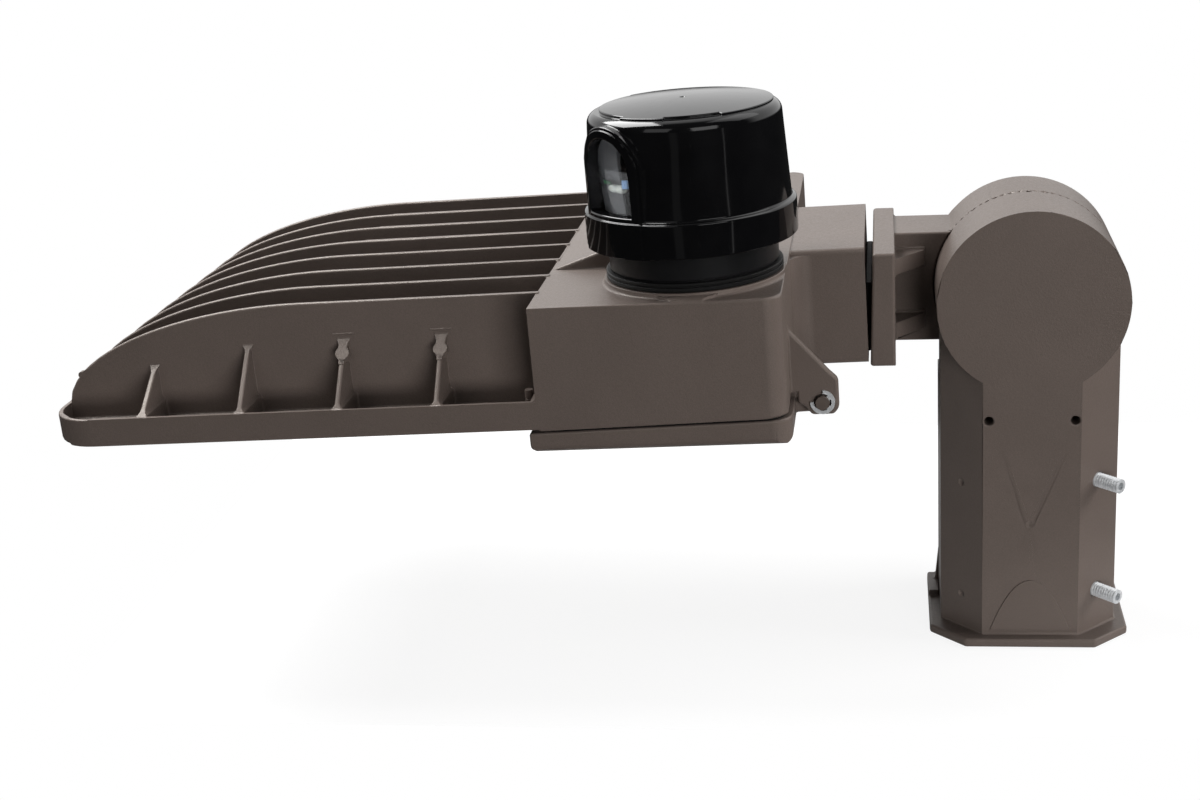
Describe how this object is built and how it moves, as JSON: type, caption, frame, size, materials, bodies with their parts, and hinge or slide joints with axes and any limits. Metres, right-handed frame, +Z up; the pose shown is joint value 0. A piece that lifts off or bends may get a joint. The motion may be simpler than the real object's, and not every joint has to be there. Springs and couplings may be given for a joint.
{
  "type": "shoebox area light",
  "caption": "Flat finned outdoor area light head on a serrated tilting slip fitter, with a twist-lock photocell on top and a hinged driver lid below.",
  "frame": {"origin": "centre of the tenon socket's mouth, at the base flange's underside", "axes": "+Z up along the tenon socket; the head reaches out along -X; +Y towards the side away from the photocell"},
  "size_m": [0.4448, 0.2356, 0.2519],
  "materials": {
    "bronze_paint": "fine-textured dark bronze powder coat",
    "zinc_steel": "zinc-plated steel",
    "black_rubber": "matt black silicone rubber",
    "white_board": "white solder mask on aluminium board",
    "phosphor": "yellow phosphor",
    "clear_lens": "clear moulded lens",
    "driver_case": "plain metal case",
    "black_case": "black moulded plastic",
    "white_nylon": "white nylon",
    "lead_cover": "red insulation",
    "gloss_black": "polished black polycarbonate",
    "clear_pane": "clear pane",
    "brass_blades": "plain brass",
    "green_board": "green circuit board",
    "clear_sensor": "clear epoxy"
  },
  "bodies": {
    "fitter": {"fitter_body": "bronze_paint", "set_screws": "zinc_steel", "knuckle_bolt": "zinc_steel", "knuckle_washer": "zinc_steel"},
    "head": {"knuckle_arm": "bronze_paint", "neck_seal": "black_rubber", "tie_screws": "zinc_steel", "housing": "bronze_paint", "corner_studs": "bronze_paint", "led_board": "white_board", "led_chips": "phosphor", "lens_seal": "black_rubber", "lens_plate": "clear_lens", "lens_frame": "bronze_paint", "lens_screws": "zinc_steel", "driver": "driver_case", "driver_screws": "zinc_steel", "surge_module": "black_case", "terminal_block": "white_nylon", "inner_leads": "lead_cover", "receptacle_seal": "black_rubber", "receptacle": "black_case", "receptacle_screws": "zinc_steel", "hinge_pins": "bronze_paint", "hinge_clips": "zinc_steel"},
    "lid": {"lid": "bronze_paint", "lid_seal": "black_rubber", "lid_screws": "zinc_steel"},
    "photocell": {"cell_base": "black_case", "cell_blades": "brass_blades", "cell_seal": "black_rubber", "cell_cover": "gloss_black", "cell_window": "clear_pane", "cell_board": "green_board", "cell_sensor": "clear_sensor"}
  },
  "joints": [
    {"name": "head_tilt", "type": "hinge", "parent": "fitter", "child": "head", "pos_m": [0, 0, 0.154], "axis": [0, 1, 0], "range_deg": [-10, 90]},
    {"name": "lid_hinge", "type": "hinge", "parent": "head", "child": "lid", "pos_m": [-0.08563, 0, 0.13071], "axis": [0, -1, 0], "range_deg": [0, 90]},
    {"name": "photocell_twist", "type": "hinge", "parent": "head", "child": "photocell", "pos_m": [-0.13593, -0.0761, 0.19655], "axis": [-0.0255, 0, 0.9997], "range_deg": [0, 20]}
  ]
}
